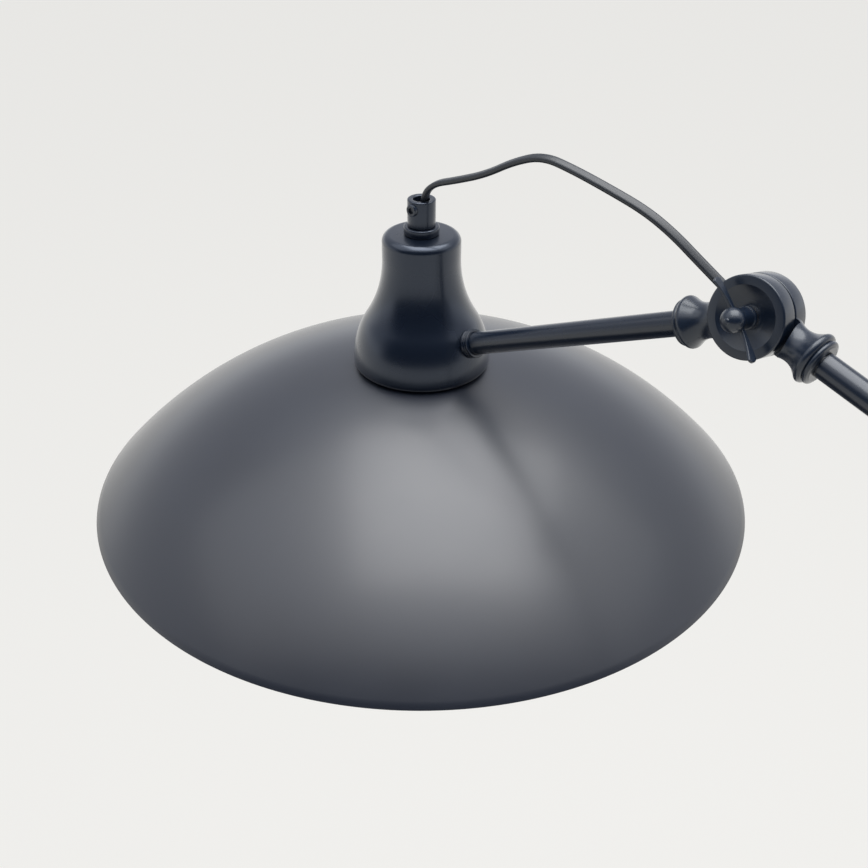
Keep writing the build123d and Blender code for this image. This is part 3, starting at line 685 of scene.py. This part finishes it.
# cord: flat twin lead from the grip to the hole in the rim of the front half
lead = {
    "width": 4.8, "thickness": 3.0, "length": 0.2, "holeAngle": -52.0, "holeHeight": 4.9, "holeDepth": 5.98,
    "twist": 40.0, "arcSteps": 12, "curveSteps": 10, "curveOrder": 3, "smooth": 35,
    "route": [(1.2, 165.02), (1.2, 175.4), (8.0, 183.6), (22.0, 188.6), (40.0, 195.9), (57.0, 206.3),
              (73.0, 212.5), (90.0, 209.8), (110.0, 205.1), (129.0, 200.0), (144.0, 192.8), (157.0, 184.4)],
    "bendFrom": 1, "bendTo": 9,  # two places in the route list, counted from the grip
}
holeTurn = radians(lead["holeAngle"])
holeMouth = headFront @ Vector((mm(knuckle["radius"] * cos(holeTurn)), mm(knuckle["radius"] * sin(holeTurn)),
                                mm(lead["holeHeight"])))
outward = Vector((holeMouth.x - rimCentre.x, holeMouth.y - rimCentre.y, 0)).normalized()
routePoints = [rimCentre + outward * mm(d) + upward * mm(h) for d, h in lead["route"]]
routePoints.append(holeMouth + (holeMouth - routePoints[-1]).normalized() * mm(lead["holeDepth"]))

routeData = bpy.data.curves.new("leadRoute", "CURVE")
routeData.dimensions = "3D"
routeData.resolution_u = lead["curveSteps"]
spline = routeData.splines.new("NURBS")
spline.points.add(len(routePoints) - 1)
for knot, point in zip(spline.points, routePoints):
    knot.co = (*point, 1)
spline.order_u = lead["curveOrder"]
spline.use_endpoint_u = True
routeCurve = bpy.data.objects.new("leadRoute", routeData)
scene.collection.objects.link(routeCurve)
bpy.context.view_layer.update()
lineMesh = bpy.data.meshes.new_from_object(routeCurve)
leadPath = [vertex.co.copy() for vertex in lineMesh.vertices]
bpy.data.objects.remove(routeCurve)
bpy.data.meshes.remove(lineMesh)

# section: flat oval, two wires side by side in one sheath
wire = lead["thickness"] / 2
apart = lead["width"] / 2 - wire
lobe = [radians(-90 + 180 * i / lead["arcSteps"]) for i in range(lead["arcSteps"] + 1)]
section = [(apart + wire * cos(t), wire * sin(t)) for t in lobe]
section += [(-x, -y) for x, y in section]

leadSide = upward.cross(outward)
leadVertices = []
for i, point in enumerate(leadPath):
    tangent = (leadPath[min(i + 1, len(leadPath) - 1)] - leadPath[max(i - 1, 0)]).normalized()
    rolled = Matrix.Rotation(radians(lead["twist"]) * i / (len(leadPath) - 1), 3, tangent)
    flat = rolled @ leadSide
    lift = rolled @ tangent.cross(leadSide).normalized()
    leadVertices += [point + flat * mm(x) + lift * mm(y) for x, y in section]
count = len(section)
leadFaces = [
    (a + j, a + (j + 1) % count, a + count + (j + 1) % count, a + count + j)
    for a in range(0, count * (len(leadPath) - 1), count)
    for j in range(count)
]
leadFaces += [tuple(range(count)), tuple(range(len(leadVertices) - count, len(leadVertices)))]
leadMesh = bpy.data.meshes.new("twinLead")
leadMesh.from_pydata(leadVertices, [], leadFaces)
leadPiece = bpy.data.objects.new("twinLead", leadMesh)
scene.collection.objects.link(leadPiece)
takeUp(leadPiece)
bpy.ops.object.mode_set(mode="EDIT")
bpy.ops.mesh.select_all(action="SELECT")
bpy.ops.mesh.normals_make_consistent(inside=False)
bpy.ops.object.mode_set(mode="OBJECT")
bpy.ops.object.shade_smooth_by_angle(angle=radians(lead["smooth"]))
leadPiece.data.materials.append(cordSheath)
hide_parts("cord")
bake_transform(leadPiece)
print("cord made, length", round(sum((b - a).length for a, b in zip(leadPath, leadPath[1:])), 4))


# everything still shown as the frame's own node gets its finish
finishes = {
    "black_coat": castCoat,
    "zinc_steel": zincSteel,
    "cast_weight": castIron,
    "foot_rubber": softRubber,
    "bushing_rubber": softRubber,
    "knob_plastic": knobPlastic,
    "guide_nylon": bushNylon,
    "friction_fibre": washerFibre,
    "holder_plastic": holderPlastic,
    "contact_porcelain": porcelain,
    "shell_brass": brass,
    "bulb_glass": opalGlass,
    "cord_sheath": cordSheath,
}
slotOf = {part["node"]: part["material_slot"] for part in frame["record"]["subparts"]}
for node, piece in frame["nodes"].items():
    piece.data.materials.clear()
    piece.data.materials.append(finishes[slotOf[node]])
print("finishes given")


# stage: pale floor and backdrop, even room light and a lit ceiling panel
studio = {
    "floor": 60.0, "white": "#faf9f6", "glow": 0.8, "room": "#f7faff", "roomLight": 0.22,
    "backdrop": "#eceae7", "upperWall": "#bec1c9", "wallFade": (0.0, 0.27),
    "dark": "#333e53", "darkSide": (-0.747, 0.665, 0.0), "darkWide": (0.1, 0.55), "darkHigh": (0.92, 0.66),
    "panelTurn": -131.5,
}
# size and place in metres, power in watts; the bright ceiling round the panel shows only in gloss
panels = {
    "ceilingPanel": {"size": (2.16, 2.09), "place": (0.473, -0.379, 3.4), "power": 50.0, "glossOnly": False},
    "ceilingHalo": {"size": (7.84, 3.24), "place": (0.066, 0.077, 3.6), "power": 68.0, "glossOnly": True},
}


def rayShare(tree, amount):
    # share of the look that belongs to the camera and to mirrored or refracted rays
    path = addNode(tree, "ShaderNodeLightPath")
    direct = addNode(tree, "ShaderNodeMath", {"operation": "MAXIMUM"},
                     {0: path.outputs["Is Camera Ray"], 1: path.outputs["Is Glossy Ray"]})
    whole = addNode(tree, "ShaderNodeMath", {"operation": "MAXIMUM"},
                    {0: direct.outputs[0], 1: path.outputs["Is Transmission Ray"]})
    part = addNode(tree, "ShaderNodeMath", {"operation": "MULTIPLY", 1: amount}, {0: whole.outputs[0]})
    return part.outputs[0]


clearSelection()
bpy.ops.mesh.primitive_plane_add(size=studio["floor"], location=(0, 0, 0))
floorPiece = bpy.context.object
floorPiece.name = "studioFloor"
paper = bpy.data.materials.new("seamlessPaper")
paper.use_nodes = True
paperTree = paper.node_tree
paperTree.nodes.clear()
matt = addNode(paperTree, "ShaderNodeBsdfDiffuse", {"Color": tone(studio["white"])})
glow = addNode(paperTree, "ShaderNodeEmission", {"Color": tone(studio["white"]), "Strength": 1.0})
mixed = addNode(paperTree, "ShaderNodeMixShader",
                links={0: rayShare(paperTree, studio["glow"]), 1: matt.outputs[0], 2: glow.outputs[0]})
addNode(paperTree, "ShaderNodeOutputMaterial", links={"Surface": mixed.outputs[0]})
floorPiece.data.materials.append(paper)

world = bpy.data.worlds.new("studioWorld")
scene.world = world
world.use_nodes = True
worldTree = world.node_tree
background = worldTree.nodes["Background"]
level = addNode(worldTree, "ShaderNodeMath", {"operation": "ADD", 1: studio["roomLight"]},
                {0: rayShare(worldTree, 1 - studio["roomLight"])})
worldTree.links.new(level.outputs[0], background.inputs["Strength"])

# seen in gloss only: walls that dim upwards, and the unlit side of the room behind the camera
heading = addNode(worldTree, "ShaderNodeTexCoord").outputs["Generated"]
rays = addNode(worldTree, "ShaderNodeLightPath")
mirrored = rays.outputs["Is Glossy Ray"]
height = addNode(worldTree, "ShaderNodeSeparateXYZ", links={0: heading}).outputs["Z"]
behind = addNode(worldTree, "ShaderNodeVectorMath", {"operation": "DOT_PRODUCT", 1: studio["darkSide"]},
                 {0: heading})
fades = {}
for name, source in (("wallFade", height), ("darkWide", behind.outputs["Value"]), ("darkHigh", height)):
    start, end = studio[name]
    fades[name] = addNode(worldTree, "ShaderNodeMapRange",
                          {"interpolation_type": "SMOOTHSTEP", "From Min": start, "From Max": end},
                          {"Value": source}).outputs["Result"]
upperShare = addNode(worldTree, "ShaderNodeMath", {"operation": "MULTIPLY"},
                     {0: mirrored, 1: fades["wallFade"]})
darkZone = addNode(worldTree, "ShaderNodeMath", {"operation": "MULTIPLY"},
                   {0: fades["darkWide"], 1: fades["darkHigh"]})
darkShare = addNode(worldTree, "ShaderNodeMath", {"operation": "MULTIPLY"},
                    {0: mirrored, 1: darkZone.outputs[0]})
# seen straight or through glass: the plain backdrop
plainView = addNode(worldTree, "ShaderNodeMath", {"operation": "MAXIMUM"},
                    {0: rays.outputs["Is Camera Ray"], 1: rays.outputs["Is Transmission Ray"]})
plainRoom = addNode(worldTree, "ShaderNodeRGB")
plainRoom.outputs[0].default_value = tone(studio["room"])
roomTone = plainRoom.outputs[0]
for share, name in ((upperShare, "upperWall"), (darkShare, "dark"), (plainView, "backdrop")):
    layer = addNode(worldTree, "ShaderNodeMix", {"data_type": "RGBA", "B": tone(studio[name])},
                    {"Factor": share.outputs[0], "A": roomTone})
    roomTone = layer.outputs["Result"]
worldTree.links.new(roomTone, background.inputs["Color"])

for name, panel in panels.items():
    panelData = bpy.data.lights.new(name, "AREA")
    panelData.shape = "RECTANGLE"
    panelData.size, panelData.size_y = panel["size"]
    panelData.energy = panel["power"]
    panelLight = bpy.data.objects.new(name, panelData)
    panelLight.location = panel["place"]
    panelLight.rotation_euler = (0, 0, radians(studio["panelTurn"]))
    panelLight.visible_camera = False
    panelLight.visible_diffuse = not panel["glossOnly"]
    scene.collection.objects.link(panelLight)
print("studio set")
